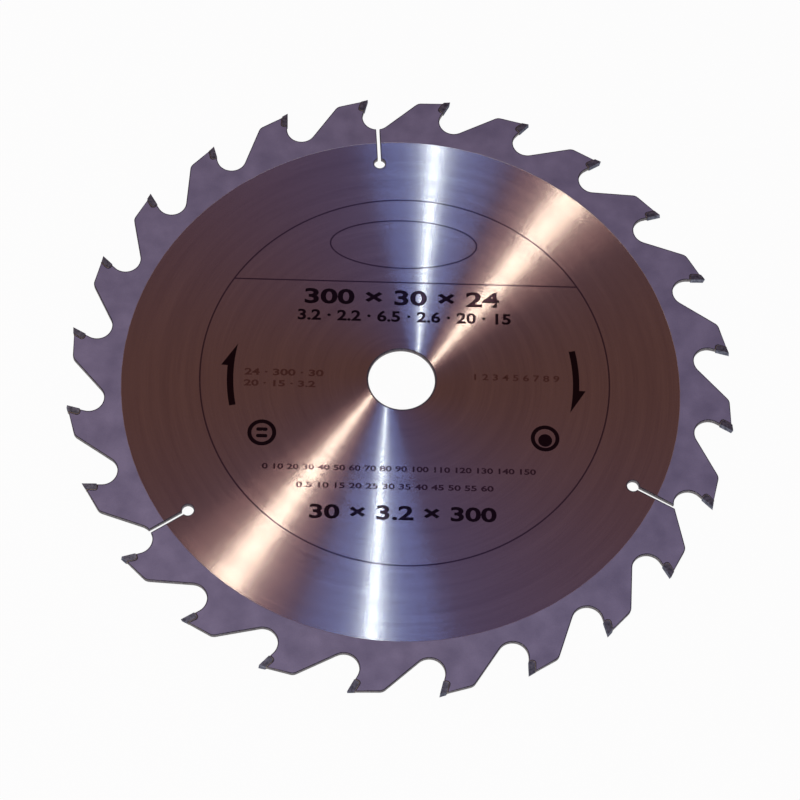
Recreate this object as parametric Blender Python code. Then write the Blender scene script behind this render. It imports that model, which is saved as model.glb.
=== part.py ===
"""Circular saw blade with brazed tungsten-carbide tips.

Metres, +Z up. The blade lies flat with the middle of its bore at the origin: half of its
width is above z = 0 and half below. +Z is the printed side and +Y runs through the
point of tooth 1. Seen from +Z the blade cuts clockwise, and the teeth are numbered in
the order in which they pass, so tooth 2 stands one pitch anticlockwise of tooth 1.
"""

import math

import bmesh
import bpy
from mathutils import Matrix, Vector

MM = 0.001

# Saw plate
CUTTING_DIAMETER = 300 * MM
BORE_DIAMETER = 30 * MM
BORE_CHAMFER = 0.3 * MM
PLATE_THICKNESS = 2.2 * MM
TOOTH_COUNT = 24

# Each side of the plate is ground inside this circle, a little below the tooth rim
GROUND_DIAMETER = 251 * MM
GROUND_DEPTH = 0.05 * MM
GROUND_EDGE_RUN = 0.2 * MM

# Tooth form, seen from the printed side
HOOK_ANGLE = math.radians(20)
GULLET_RADIUS = 6.7 * MM
GULLET_DEPTH = 17 * MM
LAND_LENGTH = 15 * MM
LAND_DROP = 1 * MM
SHOULDER_DROP = 2.2 * MM
SHOULDER_RADIUS = 4 * MM

# Carbide tip, brazed into a seat at the front of the tooth
KERF = 3.2 * MM
TIP_LENGTH = 6.5 * MM
TIP_THICKNESS = 2.6 * MM
TIP_PROUD = 0.25 * MM
TIP_HEEL_RADIUS = 0.8 * MM
TOP_CLEARANCE = math.radians(11)
TOP_BEVEL = math.radians(8)
RADIAL_SIDE_CLEARANCE = math.radians(1)
TANGENTIAL_SIDE_CLEARANCE = math.radians(2)
BRAZE_GAP = 0.3 * MM

# Expansion slots, each from the bottom of a gullet to a relief hole
SLOT_COUNT = 3
SLOT_WIDTH = 1.5 * MM
SLOT_LENGTH = 19 * MM
SLOT_HOLE_DIAMETER = 5.2 * MM
SLOT_LEAN = math.radians(2)
LAST_SLOT_TURN = math.radians(1.6)

# Facets of the round stretches, shaded smooth across corners shallower than this
GULLET_STEPS = 20
SHOULDER_STEPS = 6
TIP_HEEL_STEPS = 4
BORE_STEPS = 96
GROUND_STEPS = 192
SLOT_HOLE_STEPS = 28
SHARP_CORNER = math.radians(30)

CUTTING_RADIUS = CUTTING_DIAMETER / 2
TOOTH_PITCH = math.tau / TOOTH_COUNT
HALF_THICKNESS = PLATE_THICKNESS / 2
CUTTER_REACH = PLATE_THICKNESS

# A tooth is drawn with its cutting point on +Y and its cutting direction along +X
CUTTING_POINT = Vector((0, CUTTING_RADIUS))
DOWN_FACE = Vector((-math.sin(HOOK_ANGLE), -math.cos(HOOK_ANGLE)))
BEHIND_FACE = Vector((-math.cos(HOOK_ANGLE), math.sin(HOOK_ANGLE)))


def clear_scene():
    for old in list(bpy.data.objects):
        bpy.data.objects.remove(old, do_unlink=True)


def metal(name, colour, roughness):
    material = bpy.data.materials.new(name)
    material.use_nodes = True
    shader = material.node_tree.nodes["Principled BSDF"]
    shader.inputs["Base Color"].default_value = (*colour, 1)
    shader.inputs["Metallic"].default_value = 1
    shader.inputs["Roughness"].default_value = roughness
    return material


def shade_round_walls_smooth(shape):
    """Upright walls are shaded smooth around each bend, and the flat sides stay flat."""
    for face in shape.faces:
        face.smooth = abs(face.normal.z) < math.cos(SHARP_CORNER)
    for edge in shape.edges:
        edge.smooth = edge.calc_face_angle(0) < SHARP_CORNER


def add_object(name, shape, material=None):
    mesh = bpy.data.meshes.new(name)
    bmesh.ops.recalc_face_normals(shape, faces=shape.faces)
    shade_round_walls_smooth(shape)
    shape.to_mesh(mesh)
    shape.free()
    if material:
        mesh.materials.append(material)
    made = bpy.data.objects.new(name, mesh)
    bpy.context.scene.collection.objects.link(made)
    return made


def rotated(point, angle):
    return Matrix.Rotation(angle, 2) @ point


def polar(angle, distance):
    return distance * Vector((math.cos(angle), math.sin(angle)))


def arc(centre, radius, start, sweep, steps):
    """Points on a circle from the angle start, both ends included."""
    return [centre + polar(start + sweep * i / steps, radius) for i in range(steps + 1)]


def angle_of(vector):
    return math.atan2(vector.y, vector.x)


def meet_circle(start, direction, radius):
    """The first point along a line that lies on a circle about the origin."""
    along = start.dot(direction)
    spare = start.length_squared - radius**2
    return start + direction * (-along - math.sqrt(along**2 - spare))


# Saw plate: laser cut from one sheet of hardened steel, with every gullet, tip seat,
# slot and relief hole in its outline, then ground flat on both sides around the bore


def on_tip(down, behind):
    """A point measured from the cutting point, down the cutting face and behind it."""
    return CUTTING_POINT + DOWN_FACE * down + BEHIND_FACE * behind


def tip_heel(clearance):
    """The rounded heel of a tip, or of its seat at a clearance around it."""
    centre = on_tip(TIP_LENGTH - TIP_HEEL_RADIUS, TIP_THICKNESS - TIP_HEEL_RADIUS)
    radius = TIP_HEEL_RADIUS + clearance
    return arc(centre, radius, angle_of(DOWN_FACE), -math.pi / 2, TIP_HEEL_STEPS)


def gullet_centre():
    """The gullet is a circle that touches the steel face below the tip."""
    line = on_tip(0, TIP_PROUD - GULLET_RADIUS)
    return meet_circle(line, DOWN_FACE, CUTTING_RADIUS - GULLET_DEPTH + GULLET_RADIUS)


def shoulder():
    """The corner where the land ends and the back slope begins."""
    return Vector(
        (-LAND_LENGTH, math.sqrt((CUTTING_RADIUS - SHOULDER_DROP) ** 2 - LAND_LENGTH**2))
    )


def back_slope_foot():
    """Where the back slope of a tooth runs into the gullet behind it."""
    centre = rotated(gullet_centre(), TOOTH_PITCH)
    to_centre = centre - shoulder()
    turn = math.asin(GULLET_RADIUS / to_centre.length)
    reach = math.sqrt(to_centre.length_squared - GULLET_RADIUS**2)
    return shoulder() + rotated(to_centre.normalized(), turn) * reach


def rounded_corner(before, corner, after, radius, steps):
    """An arc that touches both sides of a corner."""
    back = (before - corner).normalized()
    ahead = (after - corner).normalized()
    half_angle = back.angle(ahead) / 2
    centre = corner + (back + ahead).normalized() * (radius / math.sin(half_angle))
    touch = radius / math.tan(half_angle)
    start = corner + back * touch - centre
    end = corner + ahead * touch - centre
    sweep = (angle_of(end) - angle_of(start) + math.pi) % math.tau - math.pi
    return arc(centre, radius, angle_of(start), sweep, steps)


def tooth_outline():
    """One tooth from the gullet ahead of it to the end of its land, anticlockwise."""
    centre = gullet_centre()
    from_tooth_ahead = rotated(back_slope_foot(), -TOOTH_PITCH) - centre
    start = angle_of(from_tooth_ahead)
    sweep = angle_of(BEHIND_FACE) - start - math.tau
    gullet = arc(centre, GULLET_RADIUS, start, sweep, GULLET_STEPS)

    seat_lip = on_tip(TIP_LENGTH + BRAZE_GAP, TIP_PROUD)
    above_seat = on_tip(-TIP_LENGTH, TIP_THICKNESS + BRAZE_GAP)
    land_start = meet_circle(above_seat, DOWN_FACE, CUTTING_RADIUS - LAND_DROP)
    end_of_land = rounded_corner(
        land_start, shoulder(), back_slope_foot(), SHOULDER_RADIUS, SHOULDER_STEPS
    )
    return [*gullet, seat_lip, *tip_heel(BRAZE_GAP), land_start, *end_of_land]


def extruded(outline, bottom, top):
    """A flat outline made into a plate between two heights."""
    shape = bmesh.new()
    face = shape.faces.new([shape.verts.new((p.x, p.y, bottom)) for p in outline])
    raised = bmesh.ops.extrude_face_region(shape, geom=[face])["geom"]
    moved = [item for item in raised if isinstance(item, bmesh.types.BMVert)]
    bmesh.ops.translate(shape, verts=moved, vec=(0, 0, top - bottom))
    return shape


def turned(profile, steps):
    """A closed solid of revolution from (radius, height) points, both ends on the axis."""
    shape = bmesh.new()
    points = [shape.verts.new((radius, 0, height)) for radius, height in profile]
    lines = [shape.edges.new(pair) for pair in zip(points, points[1:])]
    bmesh.ops.spin(
        shape,
        geom=[*points, *lines],
        cent=(0, 0, 0),
        axis=(0, 0, 1),
        angle=math.tau,
        steps=steps,
        use_merge=True,
    )
    bmesh.ops.remove_doubles(shape, verts=shape.verts, dist=0.001 * MM)
    return shape


def ground_cutter(side):
    """What grinding takes off one side: a shallow disc with a sloped edge."""
    floor = side * (HALF_THICKNESS - GROUND_DEPTH)
    ceiling = side * (HALF_THICKNESS + GROUND_DEPTH)
    edge = GROUND_DIAMETER / 2
    return turned(
        [
            (0, floor),
            (edge - GROUND_EDGE_RUN, floor),
            (edge + GROUND_EDGE_RUN, ceiling),
            (0, ceiling),
        ],
        GROUND_STEPS,
    )


def bore_cutter():
    """The bore with a small chamfer at each ground face."""
    radius = BORE_DIAMETER / 2
    face = HALF_THICKNESS - GROUND_DEPTH
    chamfer_start = face - BORE_CHAMFER
    flare = radius + BORE_CHAMFER + CUTTER_REACH
    return turned(
        [
            (0, -face - CUTTER_REACH),
            (flare, -face - CUTTER_REACH),
            (radius, -chamfer_start),
            (radius, chamfer_start),
            (flare, face + CUTTER_REACH),
            (0, face + CUTTER_REACH),
        ],
        BORE_STEPS,
    )


def slot_cutter():
    """A keyhole below a gullet on +Y, its outer end leaning the way the blade turns."""
    hole_radius = SLOT_HOLE_DIAMETER / 2
    half_width = SLOT_WIDTH / 2
    neck = math.acos(half_width / hole_radius)
    hole = Vector((0, -SLOT_LENGTH))
    outline = [
        Vector((half_width, GULLET_RADIUS)),
        *arc(hole, hole_radius, neck, -math.pi - 2 * neck, SLOT_HOLE_STEPS),
        Vector((-half_width, GULLET_RADIUS)),
    ]
    mouth = Vector((0, CUTTING_RADIUS - GULLET_DEPTH))
    leaning = [mouth + rotated(point, -SLOT_LEAN) for point in outline]
    return extruded(leaning, -CUTTER_REACH, CUTTER_REACH)


def cut_from(target, shape, name):
    cutter = add_object(name, shape)
    cutter.hide_render = True
    cutter.display_type = "WIRE"
    cut = target.modifiers.new(name, "BOOLEAN")
    cut.operation = "DIFFERENCE"
    cut.solver = "EXACT"
    cut.object = cutter
    return cutter


def build_saw_plate(material):
    outline = [
        rotated(point, tooth * TOOTH_PITCH)
        for tooth in range(TOOTH_COUNT)
        for point in tooth_outline()
    ]
    plate = add_object("saw_plate", extruded(outline, -HALF_THICKNESS, HALF_THICKNESS), material)
    cut_from(plate, ground_cutter(1), "ground_upper_side")
    cut_from(plate, ground_cutter(-1), "ground_lower_side")
    cut_from(plate, bore_cutter(), "bore")
    gullet_turn = angle_of(gullet_centre()) - math.pi / 2
    for slot in range(SLOT_COUNT):
        tooth = round(slot * TOOTH_COUNT / SLOT_COUNT)
        off_centre = LAST_SLOT_TURN if slot == SLOT_COUNT - 1 else 0
        cutter = cut_from(plate, slot_cutter(), f"expansion_slot_{slot + 1}")
        cutter.rotation_euler.z = tooth * TOOTH_PITCH + gullet_turn - off_centre


# Carbide tips: pressed and sintered blocks, silver-brazed into the seats and then ground
# on the face, top and both sides. The top bevel leans left and right on alternate teeth


def meet_planes(planes):
    """The point on three planes, each given as (point, normal)."""
    normals = Matrix([normal for _, normal in planes])
    return normals.inverted() @ Vector([point.dot(normal) for point, normal in planes])


def tip_shape(high_side):
    """A tip at the top of the blade, its higher corner at the +Z or -Z side."""
    down = Vector((*DOWN_FACE, 0))
    behind = Vector((*BEHIND_FACE, 0))
    corner = Vector((*CUTTING_POINT, high_side * KERF / 2))
    front = (corner, behind)
    back = (corner + behind * TIP_THICKNESS, behind)
    top_slope = Vector((-math.tan(TOP_CLEARANCE), 1, -high_side * math.tan(TOP_BEVEL)))
    top = (corner, top_slope)
    radial_taper = down * math.tan(RADIAL_SIDE_CLEARANCE)
    tangential_taper = behind * math.tan(TANGENTIAL_SIDE_CLEARANCE)
    taper = radial_taper + tangential_taper
    shape = bmesh.new()
    for side in (-1, 1):
        widest = Vector((*CUTTING_POINT, side * KERF / 2))
        flank = (widest, taper + Vector((0, 0, side)))
        for face in (front, back):
            shape.verts.new(meet_planes([flank, top, face]))
        for point in (on_tip(TIP_LENGTH, 0), *tip_heel(0)):
            narrower = taper.to_2d().dot(point - CUTTING_POINT)
            shape.verts.new((*point, side * (KERF / 2 - narrower)))
    bmesh.ops.convex_hull(shape, input=shape.verts)
    bmesh.ops.dissolve_limit(
        shape, angle_limit=math.radians(0.1), verts=shape.verts, edges=shape.edges
    )
    return shape


def build_tips(material):
    for tooth in range(TOOTH_COUNT):
        high_side = 1 if tooth % 2 else -1
        tip = add_object(f"carbide_tip_{tooth + 1:02d}", tip_shape(high_side), material)
        tip.rotation_euler.z = tooth * TOOTH_PITCH


clear_scene()
build_saw_plate(metal("saw_steel", (0.42, 0.38, 0.40), 0.35))
build_tips(metal("tungsten_carbide", (0.10, 0.10, 0.11), 0.45))
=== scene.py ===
"""The looks of a circular saw blade that lies flat on a white floor.

Metres, +Z up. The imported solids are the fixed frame: the middle of the bore is at the origin and
the printed side is up.
"""

import math

import bpy
from mathutils import Matrix, Vector


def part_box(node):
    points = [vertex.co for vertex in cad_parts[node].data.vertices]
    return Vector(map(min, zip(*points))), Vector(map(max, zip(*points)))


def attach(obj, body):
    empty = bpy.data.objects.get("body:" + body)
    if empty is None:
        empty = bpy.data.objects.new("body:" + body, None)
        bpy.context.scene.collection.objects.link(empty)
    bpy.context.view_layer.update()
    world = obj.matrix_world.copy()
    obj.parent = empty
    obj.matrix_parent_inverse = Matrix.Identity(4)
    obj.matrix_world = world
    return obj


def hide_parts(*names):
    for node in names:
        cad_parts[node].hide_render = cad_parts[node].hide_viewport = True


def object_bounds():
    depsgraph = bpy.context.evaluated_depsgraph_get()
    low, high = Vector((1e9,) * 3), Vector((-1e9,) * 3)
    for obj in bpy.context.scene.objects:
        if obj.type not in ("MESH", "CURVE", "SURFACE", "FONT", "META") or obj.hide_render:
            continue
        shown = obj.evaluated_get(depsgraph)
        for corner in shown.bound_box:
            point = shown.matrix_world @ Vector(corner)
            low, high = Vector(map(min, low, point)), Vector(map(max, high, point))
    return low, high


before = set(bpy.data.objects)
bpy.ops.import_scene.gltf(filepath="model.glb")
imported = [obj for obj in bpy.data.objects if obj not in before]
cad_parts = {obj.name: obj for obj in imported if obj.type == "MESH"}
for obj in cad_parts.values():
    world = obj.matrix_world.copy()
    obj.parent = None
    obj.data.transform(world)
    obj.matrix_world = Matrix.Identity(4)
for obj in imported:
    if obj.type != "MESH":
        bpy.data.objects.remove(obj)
cad_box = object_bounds()
bpy.context.scene.view_settings.view_transform = "Standard"


# Camera: it stands over the near edge of the blade, about a metre away, and looks down steeply.
# Its long lens keeps the far teeth nearly as large as the near ones
CAMERA_PLACE = Vector((-0.0893, -0.4779, 0.9536))
CAMERA_TILT = math.radians(26.45)
CAMERA_LEAN = math.radians(-2.23)
CAMERA_TURN = math.radians(-6.12)
LENS_IN_MM = 107.17
SENSOR_IN_MM = 36

bpy.ops.object.camera_add(location=CAMERA_PLACE, rotation=(CAMERA_TILT, CAMERA_LEAN, CAMERA_TURN))
camera = bpy.context.object
camera.name = "camera"
camera.data.lens = LENS_IN_MM
camera.data.sensor_width = SENSOR_IN_MM
bpy.context.scene.camera = camera


# Floor: a wide white sheet that the tips rest on. Where the camera or polished metal sees it, it is
# lifted to white. The rest of it stays matt, so that the blade keeps its shadow
FLOOR_WIDTH = 14
FLOOR_GREY = 0.88
FLOOR_LIFT = 0.96


def set_sockets(tree, node, sockets):
    """Gives each of a node's sockets, by name or number, a value or another node's output."""
    for socket, value in sockets.items():
        if isinstance(value, bpy.types.NodeSocket):
            tree.links.new(value, node.inputs[socket])
        else:
            node.inputs[socket].default_value = value


def add_node(tree, kind, sockets=None, **settings):
    """A new shader node with its sockets and settings filled in."""
    made = tree.nodes.new("ShaderNode" + kind)
    for name, value in settings.items():
        setattr(made, name, value)
    set_sockets(tree, made, sockets or {})
    return made


def calculate(tree, operation, *values):
    """What a Math node makes of these values."""
    return add_node(tree, "Math", dict(enumerate(values)), operation=operation).outputs["Value"]


def white_floor():
    material = bpy.data.materials.new("white_floor")
    material.use_nodes = True
    tree = material.node_tree
    tree.nodes.clear()
    rays = add_node(tree, "LightPath").outputs
    seen = calculate(tree, "MAXIMUM", rays["Is Camera Ray"], rays["Is Glossy Ray"])
    seen_or_through = calculate(tree, "MAXIMUM", seen, rays["Is Transmission Ray"])
    lift = calculate(tree, "MULTIPLY", seen_or_through, FLOOR_LIFT)
    matt = add_node(tree, "BsdfDiffuse", {"Color": (FLOOR_GREY, FLOOR_GREY, FLOOR_GREY, 1)})
    white = add_node(tree, "Emission", {"Color": (1, 1, 1, 1), "Strength": 1})
    sockets = {"Fac": lift, 1: matt.outputs["BSDF"], 2: white.outputs["Emission"]}
    mixed = add_node(tree, "MixShader", sockets)
    add_node(tree, "OutputMaterial", {"Surface": mixed.outputs["Shader"]})
    return material


floor_height = cad_box[0].z
bpy.ops.mesh.primitive_plane_add(size=FLOOR_WIDTH, location=(0, 0, floor_height))
floor = bpy.context.object
floor.name = "floor"
floor.data.materials.append(white_floor())


# Light: a dim room with two strip softboxes high on the camera's side. Each stands where the
# grinding rings throw its light to the camera along one line through the bore, and a wider and
# fainter strip of a deeper colour round it gives that streak its glow
TOWARDS_CAMERA = CAMERA_PLACE.normalized()
ROOM_STRENGTH = 0.2
ROOM_FRONT_AND_BACK = (0.85, 0.70, 1.30)
ROOM_SIDES = (0.88, 0.44, 0.34)
LAMP_DISTANCE = 1.7
STRIP_LENGTH = 0.9
STREAK_REACH = 0.74
COOL_STREAK = math.radians(80.2)
WARM_STREAK = math.radians(48.5)


def calculate_vector(tree, operation, *vectors):
    """What a Vector Math node makes of these vectors."""
    made = add_node(tree, "VectorMath", dict(enumerate(vectors)), operation=operation)
    return made.outputs["Vector"]


def flattened(tree, vector):
    """The level part of a vector."""
    return calculate_vector(tree, "MULTIPLY", vector, (1, 1, 0))


def blend_colours(tree, amount, first, second):
    """A colour that goes from the first to the second as the amount goes from 0 to 1."""
    sockets = {"Fac": amount, "Color1": (*first, 1), "Color2": (*second, 1)}
    return add_node(tree, "MixRGB", sockets).outputs["Color"]


def light_room():
    """The room's tint goes by the bearing of the rings that show it: bluer in front and behind."""
    world = bpy.data.worlds.new("dim_room")
    bpy.context.scene.world = world
    world.use_nodes = True
    tree = world.node_tree
    tree.nodes.clear()
    direction = add_node(tree, "TexCoord").outputs["Generated"]
    halfway = calculate_vector(tree, "ADD", direction, TOWARDS_CAMERA)
    bearing = calculate_vector(tree, "NORMALIZE", flattened(tree, halfway))
    aside = calculate(tree, "ABSOLUTE", add_node(tree, "SeparateXYZ", {0: bearing}).outputs["X"])
    tint = blend_colours(tree, aside, ROOM_FRONT_AND_BACK, ROOM_SIDES)
    glow = add_node(tree, "Background", {"Color": tint, "Strength": ROOM_STRENGTH})
    add_node(tree, "OutputWorld", {"Surface": glow.outputs["Background"]})


def add_softbox(name, streak, width, power, colour):
    """A strip lamp that faces the blade and runs along all the places that feed its streak."""
    along_streak = Vector((math.cos(streak), math.sin(streak)))
    # A ring's normal leans along the streak, and stands halfway between the camera and the lamp
    level = along_streak * -STREAK_REACH - TOWARDS_CAMERA.to_2d()
    towards = Vector((*level, math.sqrt(1 - level.length_squared)))
    strip = Vector((*along_streak, -along_streak.dot(level) / towards.z)).normalized()
    turned = Matrix((strip.cross(towards), strip, towards)).transposed()
    bpy.ops.object.light_add(type="AREA", location=towards * LAMP_DISTANCE)
    lamp = bpy.context.object
    lamp.name = name
    lamp.rotation_euler = turned.to_euler()
    lamp.data.shape = "ELLIPSE"
    lamp.data.size = width
    lamp.data.size_y = STRIP_LENGTH
    lamp.data.energy = power
    lamp.data.color = colour


light_room()
add_softbox("cool_softbox", COOL_STREAK, width=0.04, power=3.5, colour=(0.82, 1.0, 0.90))
add_softbox("cool_spill", COOL_STREAK, width=0.7, power=3.1, colour=(0.24, 0.43, 0.95))
add_softbox("warm_softbox", WARM_STREAK, width=0.18, power=5.7, colour=(1.0, 0.86, 0.61))
add_softbox("warm_spill", WARM_STREAK, width=0.6, power=1.6, colour=(1.0, 0.54, 0.42))


# Saw plate: one disc laser cut from hardened steel sheet, matt at the teeth from its heat treatment.
# Both sides are ground in fine rings inside a shallow step. Every edge is broken by tumbling, and
# a thin dark strip of painted shade runs along each cut edge
MM = 0.001
GROUND_STEP = 0.05 * MM
EDGE_BREAK = 0.08 * MM
EDGE_BREAK_STEPS = 2
# The width of the dark strip of painted shade along the cut edges
PAINTED_EDGE_SHADE_WIDTH = 0.35 * MM
SHORTEST_EDGE = 0.12 * MM
SAME_PLANE = math.radians(0.5)
SHARP_CORNER = math.radians(30)
LEVEL_FACE = math.cos(math.radians(5))
SLOPING_FACE = math.cos(math.radians(30))
GRINDING_PITCH = 0.02 * MM
GRINDING_LEAN = 6.4 * MM
GENTLEST_FLANK = 0.2
STEEPEST_FLANK = 0.65
GRINDING_FINE = 0.22
GRINDING_ROUGH = 0.23
GRINDING_DULLEST = 0.27
DULLER_AT_BORE = 1.6 * MM


def new_metal(name, colour, roughness):
    """A metal material, with its node tree and its shader."""
    material = bpy.data.materials.new(name)
    material.use_nodes = True
    tree = material.node_tree
    shader = tree.nodes["Principled BSDF"]
    set_sockets(tree, shader, {"Metallic": 1, "Base Color": (*colour, 1), "Roughness": roughness})
    return material, tree, shader


def even_noise(tree, per_metre, detail=2, upright=1):
    """Noise in features per metre. Upright below 1 draws them out up and down."""
    place = add_node(tree, "TexCoord").outputs["Object"]
    scaled = calculate_vector(tree, "MULTIPLY", place, (1, 1, upright))
    sockets = {"Vector": scaled, "Scale": per_metre, "Detail": detail}
    return add_node(tree, "TexNoise", sockets).outputs["Fac"]


def from_bore(tree):
    """The level way from the bore's axis to a place on the blade, and how far it is."""
    outwards = flattened(tree, add_node(tree, "TexCoord").outputs["Object"])
    radius = add_node(tree, "VectorMath", {0: outwards}, operation="LENGTH").outputs["Value"]
    return outwards, radius


def ring_noise(tree, along, across, detail=2):
    """Noise drawn out into rings round the bore, in features per metre along and across them."""
    outwards, radius = from_bore(tree)
    parts = add_node(tree, "SeparateXYZ", {0: outwards}).outputs
    place = add_node(tree, "CombineXYZ", {"X": parts["X"], "Y": parts["Y"], "Z": radius})
    scaled = calculate_vector(tree, "MULTIPLY", place.outputs["Vector"], (along, along, across))
    sockets = {"Vector": scaled, "Scale": 1, "Detail": detail}
    return add_node(tree, "TexNoise", sockets).outputs["Fac"]


def spread(tree, value, low, high, least=0.3, most=0.7):
    """Maps a noise value from the range that noise mostly stays in to low and high."""
    sockets = {"Value": value, "From Min": least, "From Max": most, "To Min": low, "To Max": high}
    return add_node(tree, "MapRange", sockets).outputs["Result"]


def bumps(tree, height, strength, depth):
    """A surface normal that follows small bumps of this depth."""
    sockets = {"Height": height, "Strength": strength, "Distance": depth}
    return add_node(tree, "Bump", sockets).outputs["Normal"]


def across_grinding(tree):
    """The direction square to the grinding lines, which lean out of true rings near the bore."""
    outwards, radius = from_bore(tree)
    lean = calculate(tree, "DIVIDE", GRINDING_LEAN, radius)
    sockets = {"Vector": outwards, "Angle": lean}
    leaning = add_node(tree, "VectorRotate", sockets, rotation_type="Z_AXIS").outputs["Vector"]
    across = add_node(
        tree, "VectorTransform", {"Vector": leaning}, convert_from="OBJECT", convert_to="WORLD"
    )
    return calculate_vector(tree, "NORMALIZE", across.outputs["Vector"])


def flank_slope(tree, radius):
    """The slope on the flanks of the grinding lines. Each line falls off gently or steeply."""
    wander = ring_noise(tree, along=30, across=150, detail=0)
    lines = calculate(tree, "MULTIPLY_ADD", radius, 1 / GRINDING_PITCH, wander)
    to_and_fro = calculate(tree, "PINGPONG", lines, 1)
    beyond = STEEPEST_FLANK - GENTLEST_FLANK
    past_gentlest = spread(tree, to_and_fro, -beyond, beyond, least=0, most=1)
    side = calculate(tree, "SIGN", past_gentlest)
    return calculate(tree, "MULTIPLY_ADD", side, GENTLEST_FLANK, past_gentlest)


def grind_in_rings(tree, shader):
    """Fine lines round the bore, in which a lamp shows as a streak that crosses the bore."""
    across = across_grinding(tree)
    radius = from_bore(tree)[1]
    sockets = {0: across, "Scale": flank_slope(tree, radius)}
    tilt = add_node(tree, "VectorMath", sockets, operation="SCALE").outputs["Vector"]
    upright = add_node(tree, "NewGeometry").outputs["Normal"]
    tilted = calculate_vector(tree, "ADD", upright, tilt)
    normal = calculate_vector(tree, "NORMALIZE", tilted)
    uneven = ring_noise(tree, along=12, across=120, detail=0)
    fine_to_rough = spread(tree, uneven, GRINDING_FINE, GRINDING_ROUGH)
    duller = calculate(tree, "DIVIDE", DULLER_AT_BORE, radius)
    roughness = calculate(tree, "ADD", fine_to_rough, duller)
    capped = calculate(tree, "MINIMUM", roughness, GRINDING_DULLEST)
    sockets = {"Anisotropic": 1, "Tangent": across, "Normal": normal, "Roughness": capped}
    set_sockets(tree, shader, sockets)


def ring_ground_steel():
    dark = (0.42, 0.37, 0.42)
    light = (0.50, 0.45, 0.49)
    material, tree, shader = new_metal("ring_ground_steel", light, GRINDING_FINE)
    grind_in_rings(tree, shader)
    coarse = ring_noise(tree, along=12, across=260)
    fine = ring_noise(tree, along=45, across=3200, detail=3)
    lines = spread(tree, calculate(tree, "ADD", coarse, fine), 0, 1, least=0.7, most=1.3)
    set_sockets(tree, shader, {"Base Color": blend_colours(tree, lines, dark, light)})
    return material


def matt_steel():
    """The rim as it comes from hardening and blasting: an even grain with faint cloudy stains."""
    material, tree, shader = new_metal("rim_steel", (0.36, 0.34, 0.50), 0.74)
    clouds = spread(tree, even_noise(tree, per_metre=90, detail=3), 0, 1)
    colour = blend_colours(tree, clouds, (0.315, 0.295, 0.44), (0.41, 0.385, 0.55))
    grain = even_noise(tree, per_metre=2600)
    roughness = spread(tree, grain, 0.68, 0.78)
    normal = bumps(tree, grain, strength=0.15, depth=0.02 * MM)
    set_sockets(tree, shader, {"Base Color": colour, "Roughness": roughness, "Normal": normal})
    return material


def laser_cut_steel():
    """The cut wall of the outline, slots and bore: dark, with the upright ripples a laser leaves."""
    material, tree, shader = new_metal("laser_cut_steel", (0.16, 0.14, 0.15), 0.5)
    ripples = even_noise(tree, per_metre=1800, upright=0.06)
    darker = spread(tree, ripples, 0, 1)
    colour = blend_colours(tree, darker, (0.09, 0.08, 0.085), (0.22, 0.20, 0.21))
    normal = bumps(tree, ripples, strength=0.4, depth=0.03 * MM)
    set_sockets(tree, shader, {"Base Color": colour, "Normal": normal})
    return material


def step_steel_painted_highlight():
    """The slope where the grinding ends, painted bright as a highlight, in fine rings."""
    material, tree, shader = new_metal("step_steel_painted_highlight", (0.62, 0.58, 0.60), 0.25)
    lines = ring_noise(tree, along=45, across=8000)
    set_sockets(tree, shader, {"Roughness": spread(tree, lines, 0.2, 0.34)})
    return material


def mottled_steel(name, dark, light, dull, bright):
    """Uneven steel at the cut edges: rubbed in the drum, and dark as painted shade beside them."""
    middle = [(low + high) / 2 for low, high in zip(dark, light)]
    material, tree, shader = new_metal(name, middle, dull)
    stains = even_noise(tree, per_metre=1100)
    colour = blend_colours(tree, spread(tree, stains, 0, 1), dark, light)
    set_sockets(tree, shader, {"Base Color": colour, "Roughness": spread(tree, stains, dull, bright)})
    return material


def select_only(piece):
    """Deselects all but this object and makes it the active one."""
    bpy.ops.object.select_all(action="DESELECT")
    bpy.context.view_layer.objects.active = piece
    piece.select_set(True)


def keep_as_piece(piece, name):
    """Names a finished piece, puts its place into its mesh and fixes it to the blade."""
    select_only(piece)
    bpy.ops.object.transform_apply(location=True, rotation=True, scale=True)
    piece.name = name
    piece.data.name = name
    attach(piece, "root")


highest_plate_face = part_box("saw_plate")[1].z
# The last finish is the dark strip of painted shade along the cut edges
RIM, GROUND, CUT, STEP, BROKEN_EDGE, PAINTED_EDGE_SHADE = range(6)


def plate_finish(face):
    """Which of the plate's finishes a face has, by where it is and which way it faces."""
    flatness = abs(face.normal.z)
    if flatness > LEVEL_FACE:
        return GROUND if abs(face.center.z) < highest_plate_face - GROUND_STEP / 2 else RIM
    return STEP if flatness > SLOPING_FACE else CUT


# The solid's triangles are merged into whole faces, so that only real edges are broken
plate = bpy.data.objects.new("finished_saw_plate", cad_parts["saw_plate"].data.copy())
bpy.context.scene.collection.objects.link(plate)
select_only(plate)
bpy.ops.object.mode_set(mode="EDIT")
bpy.ops.mesh.select_all(action="SELECT")
bpy.ops.mesh.remove_doubles(threshold=SHORTEST_EDGE)
bpy.ops.mesh.dissolve_limited(angle_limit=SAME_PLANE)
bpy.ops.object.mode_set(mode="OBJECT")

# The materials are in the order of the finishes' numbers
plate.data.materials.clear()
for finish in (
    matt_steel(),
    ring_ground_steel(),
    laser_cut_steel(),
    # The step's steel is painted paler than the ground face, as a highlight
    step_steel_painted_highlight(),
    mottled_steel("broken_edge", (0.13, 0.115, 0.14), (0.21, 0.195, 0.22), dull=0.57, bright=0.43),
    # A dark strip of painted shade along the cut edges
    mottled_steel("painted_edge_shade", (0.07, 0.064, 0.088), (0.11, 0.106, 0.142), dull=0.77, bright=0.63),
):
    plate.data.materials.append(finish)
for face in plate.data.polygons:
    face.material_index = plate_finish(face)

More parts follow.
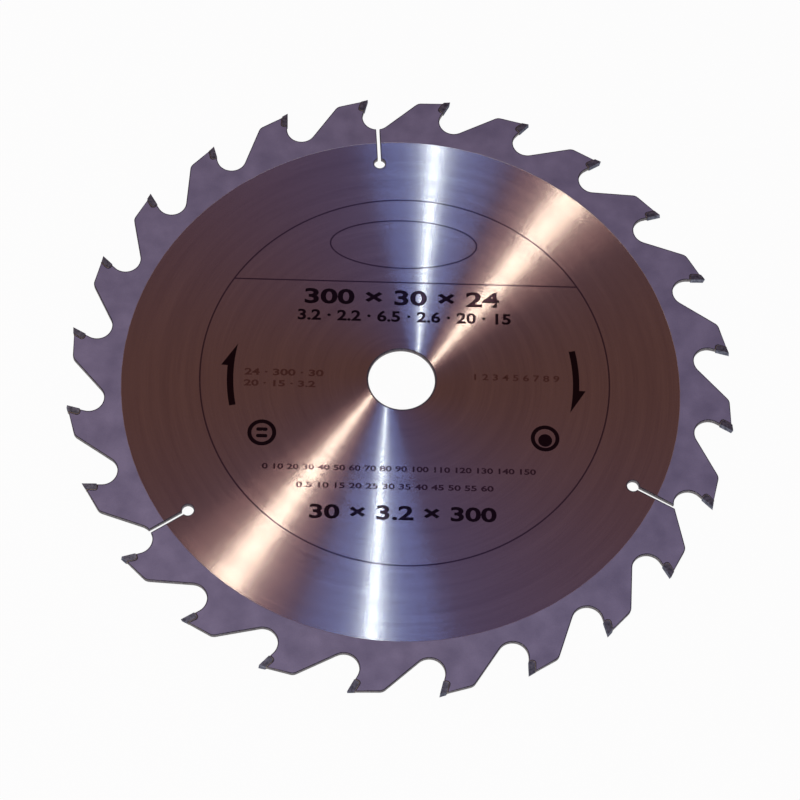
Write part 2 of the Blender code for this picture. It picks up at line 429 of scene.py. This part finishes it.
broken_edges = plate.modifiers.new("broken_edges", "BEVEL")
broken_edges.width = EDGE_BREAK
broken_edges.segments = EDGE_BREAK_STEPS
broken_edges.limit_method = "ANGLE"
broken_edges.angle_limit = SHARP_CORNER
broken_edges.use_clamp_overlap = False
broken_edges.material = BROKEN_EDGE
bpy.ops.object.modifier_apply(modifier=broken_edges.name)

# Both sides are inset from their cut edges, and the strip that this leaves is painted shade
bpy.ops.object.mode_set(mode="EDIT")
bpy.ops.mesh.select_mode(type="FACE")
bpy.ops.mesh.select_all(action="DESELECT")
bpy.ops.object.mode_set(mode="OBJECT")
for face in plate.data.polygons:
    face.select = face.material_index in (RIM, GROUND, STEP)
bpy.ops.object.mode_set(mode="EDIT")
bpy.ops.mesh.inset(thickness=PAINTED_EDGE_SHADE_WIDTH, use_even_offset=False, use_select_inset=True)
bpy.ops.object.mode_set(mode="OBJECT")
for face in plate.data.polygons:
    if face.select:
        face.material_index = PAINTED_EDGE_SHADE

bpy.ops.object.shade_smooth_by_angle(angle=SHARP_CORNER)
for face in plate.data.polygons:
    if face.material_index in (RIM, GROUND, PAINTED_EDGE_SHADE):
        face.use_smooth = False
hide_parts("saw_plate")
keep_as_piece(plate, "finished_saw_plate")


# Carbide tips: pressed and sintered blocks, ground on the face, the top and both sides after they
# are brazed in. The ground sides are a fine dark grey and scatter a little light
def ground_carbide():
    material, tree, shader = new_metal("ground_carbide", (0.14, 0.14, 0.15), 0.5)
    patches = spread(tree, even_noise(tree, per_metre=700), 0, 1)
    colour = blend_colours(tree, patches, (0.085, 0.09, 0.12), (0.26, 0.265, 0.33))
    lines = ring_noise(tree, along=500, across=9000)
    roughness = spread(tree, lines, 0.42, 0.6)
    at_glancing = (0.35, 0.35, 0.36, 1)
    sockets = {"Base Color": colour, "Roughness": roughness, "Specular Tint": at_glancing}
    set_sockets(tree, shader, sockets)
    return material


carbide = ground_carbide()
tip_nodes = [node for name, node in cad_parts.items() if name.startswith("carbide_tip")]
for tip in tip_nodes:
    tip.material_slots[0].material = carbide


# Braze: a seam of silver solder between each tip and its seat. It is run in at red heat, and what
# is squeezed out stays as a small bead on each side
TOOTH_COUNT = len(tip_nodes)
CUTTING_RADIUS = 150 * MM
HOOK_ANGLE = math.radians(20)
TIP_LENGTH = 6.5 * MM
TIP_THICKNESS = 2.6 * MM
TIP_PROUD = 0.25 * MM
TIP_HEEL_RADIUS = 0.8 * MM
BRAZE_WIDTH = 0.3 * MM
BRAZE_OVERLAP = 0.02 * MM
BRAZE_TOP = 1.9 * MM
BEAD = 0.12 * MM
BEAD_ROUNDING = 0.9 * BEAD
BEAD_STEPS = 3
HEEL_STEPS = 6
SAME_PLACE = 0.001 * MM


def silver_solder():
    material, tree, shader = new_metal("silver_solder", (0.45, 0.38, 0.30), 0.5)
    flux = even_noise(tree, per_metre=900, detail=3)
    cleaner = spread(tree, flux, 0, 1)
    colour = blend_colours(tree, cleaner, (0.18, 0.15, 0.14), (0.40, 0.35, 0.30))
    set_sockets(tree, shader, {"Base Color": colour, "Roughness": spread(tree, flux, 0.42, 0.6)})
    return material


def braze_seam():
    """The seam of tooth 1, drawn down its back first with the tip's back on -X and then turned."""
    seam_width = BRAZE_WIDTH + 2 * BRAZE_OVERLAP
    middle = -(TIP_THICKNESS + BRAZE_WIDTH / 2)
    bend = TIP_HEEL_RADIUS - TIP_LENGTH
    bpy.ops.object.select_all(action="DESELECT")
    bpy.ops.mesh.primitive_plane_add(
        size=1, location=(middle, -BRAZE_TOP, 0), rotation=(math.pi / 2, 0, 0)
    )
    seam = bpy.context.object
    seam.scale = (seam_width, 2 * (highest_plate_face + BEAD), 1)
    bpy.ops.object.transform_apply(location=True, rotation=True, scale=True)
    bpy.ops.object.mode_set(mode="EDIT")
    bpy.ops.mesh.select_all(action="SELECT")
    bpy.ops.mesh.extrude_region_move(TRANSFORM_OT_translate={"value": (0, bend + BRAZE_TOP, 0)})
    bpy.ops.mesh.spin(
        steps=HEEL_STEPS,
        angle=-math.pi / 2,
        center=(TIP_HEEL_RADIUS - TIP_THICKNESS, bend, 0),
        axis=(0, 0, 1),
    )
    bpy.ops.mesh.extrude_region_move(
        TRANSFORM_OT_translate={"value": (TIP_THICKNESS - TIP_HEEL_RADIUS - TIP_PROUD, 0, 0)}
    )
    bpy.ops.mesh.select_all(action="SELECT")
    bpy.ops.mesh.remove_doubles(threshold=SAME_PLACE)
    bpy.ops.mesh.normals_make_consistent(inside=False)
    bpy.ops.object.mode_set(mode="OBJECT")
    rounded = seam.modifiers.new("rounded_bead", "BEVEL")
    rounded.width = BEAD_ROUNDING
    rounded.segments = BEAD_STEPS
    rounded.limit_method = "ANGLE"
    rounded.angle_limit = SHARP_CORNER
    bpy.ops.object.modifier_apply(modifier=rounded.name)
    bpy.ops.object.shade_smooth_by_angle(angle=SHARP_CORNER)
    seam.data.transform(
        Matrix.Translation((0, CUTTING_RADIUS, 0)) @ Matrix.Rotation(-HOOK_ANGLE, 4, "Z")
    )
    return seam


seam = braze_seam()
seam.data.materials.append(silver_solder())
for tooth in range(TOOTH_COUNT):
    copied = bpy.data.objects.new("braze", seam.data.copy())
    bpy.context.scene.collection.objects.link(copied)
    copied.data.transform(Matrix.Rotation(tooth * math.tau / TOOTH_COUNT, 4, "Z"))
    keep_as_piece(copied, f"braze_seam_{tooth + 1:02d}")
bpy.data.objects.remove(seam)


# Printed marks: a thin coat of dark ink rolled on the ground face through a screen, a little off
# the middle of the bore. The steel's ring grinding shows through it, and the small rows are faint
PRINT_CENTRE = Vector((1.75 * MM, 1.45 * MM, 0))
PRINT_TURN = math.radians(-6.6)
INK_THICKNESS = 0.02 * MM
INK_SINK = 0.01 * MM
INK_FADE = 0.12
BARE_STEEL = (0.46, 0.41, 0.46)
LINE_WIDTH = 0.7 * MM
RING_RADIUS = 92.4 * MM
CHORD_HEIGHT = 48 * MM
OVAL_CENTRE = Vector((-1.25 * MM, 68.2 * MM, 0))
OVAL_HALF_WIDTH = 34.1 * MM
OVAL_HALF_HEIGHT = 13 * MM
ROUND_STEPS = 160


def ink(name, colour, cover):
    """Ink on ring-ground steel. Cover is how much of the steel it hides, and the rest is worn."""
    material, tree, shader = new_metal(name, colour, GRINDING_ROUGH)
    grind_in_rings(tree, shader)
    speckle = even_noise(tree, per_metre=900, detail=3)
    inked = spread(tree, speckle, 1, 0, least=cover - INK_FADE, most=cover + INK_FADE)
    set_sockets(tree, shader, {"Base Color": blend_colours(tree, inked, BARE_STEEL, colour)})
    return material


def keep_as_print(flat, name, material):
    """Gives a flat shape, drawn round the middle of the print, its ink and its place on the blade."""
    select_only(flat)
    bpy.ops.object.transform_apply(location=True, rotation=True, scale=True)
    coat = flat.modifiers.new("coat", "SOLIDIFY")
    coat.thickness = INK_THICKNESS
    coat.offset = 1
    bpy.ops.object.modifier_apply(modifier=coat.name)
    bpy.ops.object.shade_flat()
    face_height = highest_plate_face - GROUND_STEP - INK_SINK
    on_face = Matrix.Translation(PRINT_CENTRE + Vector((0, 0, face_height)))
    flat.data.transform(on_face @ Matrix.Rotation(PRINT_TURN, 4, "Z"))
    flat.data.materials.clear()
    flat.data.materials.append(material)
    keep_as_piece(flat, name)


def stretched(made, width, height):
    """A new flat shape, drawn at the size of 1 and stretched to this width and height."""
    made.scale = (width, height, 1)
    bpy.ops.object.transform_apply(location=True, rotation=True, scale=True)
    return made


def disc(centre, half_width, half_height, steps=ROUND_STEPS):
    bpy.ops.object.select_all(action="DESELECT")
    bpy.ops.mesh.primitive_circle_add(vertices=steps, radius=1, fill_type="NGON", location=centre)
    return stretched(bpy.context.object, half_width, half_height)


def bar(centre, width, height):
    bpy.ops.object.select_all(action="DESELECT")
    bpy.ops.mesh.primitive_plane_add(size=1, location=centre)
    return stretched(bpy.context.object, width, height)


def hollow(made, line_width):
    """Leaves just the outline of a flat shape, this wide."""
    bpy.ops.object.mode_set(mode="EDIT")
    bpy.ops.mesh.select_mode(type="FACE")
    bpy.ops.mesh.select_all(action="SELECT")
    bpy.ops.mesh.inset(thickness=line_width)
    bpy.ops.mesh.delete(type="FACE")
    bpy.ops.object.mode_set(mode="OBJECT")
    return made


def joined(whole, other):
    """Two flat shapes made one."""
    select_only(whole)
    other.select_set(True)
    bpy.ops.object.join()
    return whole


def ring_with_chord():
    """The large ring with a chord, whose four corners lie on the ring's inner edge."""
    inner_radius = RING_RADIUS - LINE_WIDTH
    chord = bar((0, CHORD_HEIGHT, 0), RING_RADIUS, LINE_WIDTH)
    for corner in chord.data.vertices:
        reach = math.sqrt(inner_radius**2 - corner.co.y**2)
        corner.co.x = math.copysign(reach, corner.co.x)
    return joined(hollow(disc((0, 0, 0), RING_RADIUS, RING_RADIUS), LINE_WIDTH), chord)


line_ink = ink("line_ink", (0.15, 0.11, 0.17), cover=0.8)
keep_as_print(ring_with_chord(), "printed_ring", line_ink)
oval = hollow(disc(OVAL_CENTRE, OVAL_HALF_WIDTH, OVAL_HALF_HEIGHT), LINE_WIDTH)
keep_as_print(oval, "printed_oval", line_ink)


# Arrows: two printed half-barbed arrows, one at each side, that follow the turn of the blade. Each
# is a narrow arc with a wider arc at its front, cut off on a slant
ARROW_CENTRE = Vector((-0.75 * MM, -1 * MM, 0))
ARROW_INNER_RADIUS = 76.3 * MM
ARROW_SHAFT_WIDTH = 2.9 * MM
ARROW_HEAD_WIDTH = 2 * ARROW_SHAFT_WIDTH
ARROW_HALF_SWEEP = math.radians(11.6)
ARROW_HEAD_SWEEP = math.radians(8.5)
ARROW_STEPS = 12


def select_where(mesh, test):
    """Selects, in edit mode, just the vertices whose place passes the test."""
    bpy.ops.mesh.select_all(action="DESELECT")
    bpy.ops.object.mode_set(mode="OBJECT")
    for vertex in mesh.vertices:
        vertex.select = test(vertex.co)
    bpy.ops.object.mode_set(mode="EDIT")


def arc_band(width, start, end, cuts=0):
    """A flat band swept round the origin between two angles, and cut lengthwise so many times."""
    middle = ARROW_INNER_RADIUS + width / 2
    bpy.ops.object.select_all(action="DESELECT")
    bpy.ops.mesh.primitive_plane_add(size=width, location=(middle, 0, 0))
    band = bpy.context.object
    bpy.ops.object.transform_apply(location=True)
    bpy.ops.object.mode_set(mode="EDIT")
    select_where(band.data, lambda place: place.y > 0)
    bpy.ops.mesh.delete(type="VERT")
    bpy.ops.mesh.select_all(action="SELECT")
    bpy.ops.transform.translate(value=(0, width / 2, 0))
    if cuts:
        bpy.ops.mesh.subdivide(number_cuts=cuts)
        bpy.ops.mesh.select_all(action="SELECT")
    bpy.ops.mesh.spin(steps=ARROW_STEPS, angle=start - end, center=(0, 0, 0), axis=(0, 0, 1))
    bpy.ops.object.mode_set(mode="OBJECT")
    band.rotation_euler.z = start
    bpy.ops.object.transform_apply(rotation=True)
    return band


def arrow():
    """An arrow at the right of the origin that points down."""
    notch = ARROW_HEAD_SWEEP - ARROW_HALF_SWEEP
    shaft = arc_band(ARROW_SHAFT_WIDTH, notch, ARROW_HALF_SWEEP)
    head = arc_band(ARROW_HEAD_WIDTH, -ARROW_HALF_SWEEP, notch, cuts=1)
    point = Matrix.Rotation(-ARROW_HALF_SWEEP, 3, "Z") @ Vector((ARROW_INNER_RADIUS, 0, 0))
    barb_radius = ARROW_INNER_RADIUS + ARROW_HEAD_WIDTH
    barb = Matrix.Rotation(notch, 3, "Z") @ Vector((barb_radius, 0, 0))
    slant = (barb - point).cross(Vector((0, 0, 1))).normalized()
    bpy.ops.object.mode_set(mode="EDIT")
    bpy.ops.mesh.select_all(action="SELECT")
    bpy.ops.mesh.bisect(plane_co=point, plane_no=slant, clear_outer=True, threshold=SAME_PLACE)
    bpy.ops.object.mode_set(mode="OBJECT")
    joined(head, shaft)
    bpy.ops.object.mode_set(mode="EDIT")
    bpy.ops.mesh.select_all(action="SELECT")
    bpy.ops.mesh.remove_doubles(threshold=SAME_PLACE)
    bpy.ops.mesh.normals_make_consistent(inside=False)
    bpy.ops.object.mode_set(mode="OBJECT")
    return head


bold_ink = ink("bold_ink", (0.035, 0.02, 0.035), cover=0.85)
for side, turn in (("right", 0), ("left", math.pi)):
    shape = arrow()
    shape.rotation_euler.z = turn
    shape.location = ARROW_CENTRE
    keep_as_print(shape, f"printed_arrow_{side}", bold_ink)


# Round marks: two printed signs below the arrows, in the same bold ink. Each is a thick ring, with
# two round-ended bars inside the left one and a disc inside the right one
LEFT_MARK = Vector((-63.35 * MM, -29.8 * MM, 0))
RIGHT_MARK = Vector((62.5 * MM, -29.4 * MM, 0))
MARK_RADIUS = 6.4 * MM
MARK_LINE = 1.8 * MM
MARK_STEPS = 48
MARK_BAR_WIDTH = 5 * MM
MARK_BAR_HEIGHT = 1.7 * MM
MARK_BAR_PLACE = Vector((0, 1.6 * MM, 0))
MARK_BAR_ROUNDING = 0.45 * MARK_BAR_HEIGHT
MARK_BAR_STEPS = 6
MARK_DISC_RADIUS = 3.1 * MM
MARK_DISC_DROP = Vector((0, -1 * MM, 0))


def thick_ring(centre):
    return hollow(disc(centre, MARK_RADIUS, MARK_RADIUS, MARK_STEPS), MARK_LINE)


def round_ended_bar(centre):
    made = bar(centre, MARK_BAR_WIDTH, MARK_BAR_HEIGHT)
    bpy.ops.object.mode_set(mode="EDIT")
    bpy.ops.mesh.select_all(action="SELECT")
    bpy.ops.mesh.bevel(offset=MARK_BAR_ROUNDING, segments=MARK_BAR_STEPS, affect="VERTICES")
    bpy.ops.object.mode_set(mode="OBJECT")
    return made


upper_bar = round_ended_bar(LEFT_MARK + MARK_BAR_PLACE)
bars = joined(upper_bar, round_ended_bar(LEFT_MARK - MARK_BAR_PLACE))
keep_as_print(joined(thick_ring(LEFT_MARK), bars), "printed_mark_left", bold_ink)
filled = disc(RIGHT_MARK + MARK_DISC_DROP, MARK_DISC_RADIUS, MARK_DISC_RADIUS, MARK_STEPS)
keep_as_print(joined(thick_ring(RIGHT_MARK), filled), "printed_mark_right", bold_ink)


# Numbers: printed rows of plain figures. The bold rows and the two faint ones at the left give the
# blade's own sizes, and the others are plain scales. The faint and small inks are partly worn away
FIGURE_CURVE_STEPS = 4
STROKE_WEIGHT = 0.03
LIGHT_STROKE_WEIGHT = 0.02


def number_row(name, figures, material, centre, width, height, weight=STROKE_WEIGHT):
    """A row of figures of this size and place in millimetres. Weight thickens its strokes."""
    bpy.ops.object.select_all(action="DESELECT")
    bpy.ops.object.text_add()
    row = bpy.context.object
    row.data.body = figures
    row.data.size = height * MM
    row.data.offset = weight * (height * MM)
    row.data.resolution_u = FIGURE_CURVE_STEPS
    bpy.ops.object.convert(target="MESH")
    row = bpy.context.object
    places = [vertex.co for vertex in row.data.vertices]
    low = Vector(map(min, zip(*places)))
    high = Vector(map(max, zip(*places)))
    row.data.transform(Matrix.Translation(-(low + high) / 2))
    row.scale = (width * MM / (high.x - low.x), height * MM / (high.y - low.y), 1)
    row.location = (centre[0] * MM, centre[1] * MM, 0)
    keep_as_print(row, name, material)


def scale_figures(interval, count):
    """The figures of a scale that starts at 0, with this many of them."""
    return " ".join(str(interval * step) for step in range(count))


faint_ink = ink("faint_ink", (0.26, 0.17, 0.18), cover=0.75)
small_ink = ink("small_ink", (0.13, 0.08, 0.12), cover=0.75)
number_row("row_title", "300 × 30 × 24", bold_ink, centre=(-1.65, 40), width=89, height=8)
number_row(
    "row_second",
    "3.2 · 2.2 · 6.5 · 2.6 · 20 · 15",
    bold_ink,
    centre=(-0.55, 30.3),
    width=97,
    height=5.7,
)
number_row(
    "row_left_upper", "24 · 300 · 30", faint_ink, centre=(-54.4, 0.4), width=35.5, height=3.4
)
number_row(
    "row_left_lower", "20 · 15 · 3.2", faint_ink, centre=(-56.2, -5.2), width=32, height=3.2
)
number_row(
    "row_right",
    "1 2 3 4 5 6 7 8 9",
    faint_ink,
    centre=(50.3, 0.4),
    width=38.4,
    height=3.2,
    weight=LIGHT_STROKE_WEIGHT,
)
number_row(
    "row_long_scale",
    scale_figures(interval=10, count=16),
    small_ink,
    centre=(-2.35, -46.05),
    width=121,
    height=2.8,
)
number_row(
    "row_short_scale",
    scale_figures(interval=5, count=13),
    small_ink,
    centre=(-4.15, -54.6),
    width=87,
    height=2.8,
)
number_row("row_bottom", "30 × 3.2 × 300", bold_ink, centre=(-0.45, -67.2), width=82, height=7)
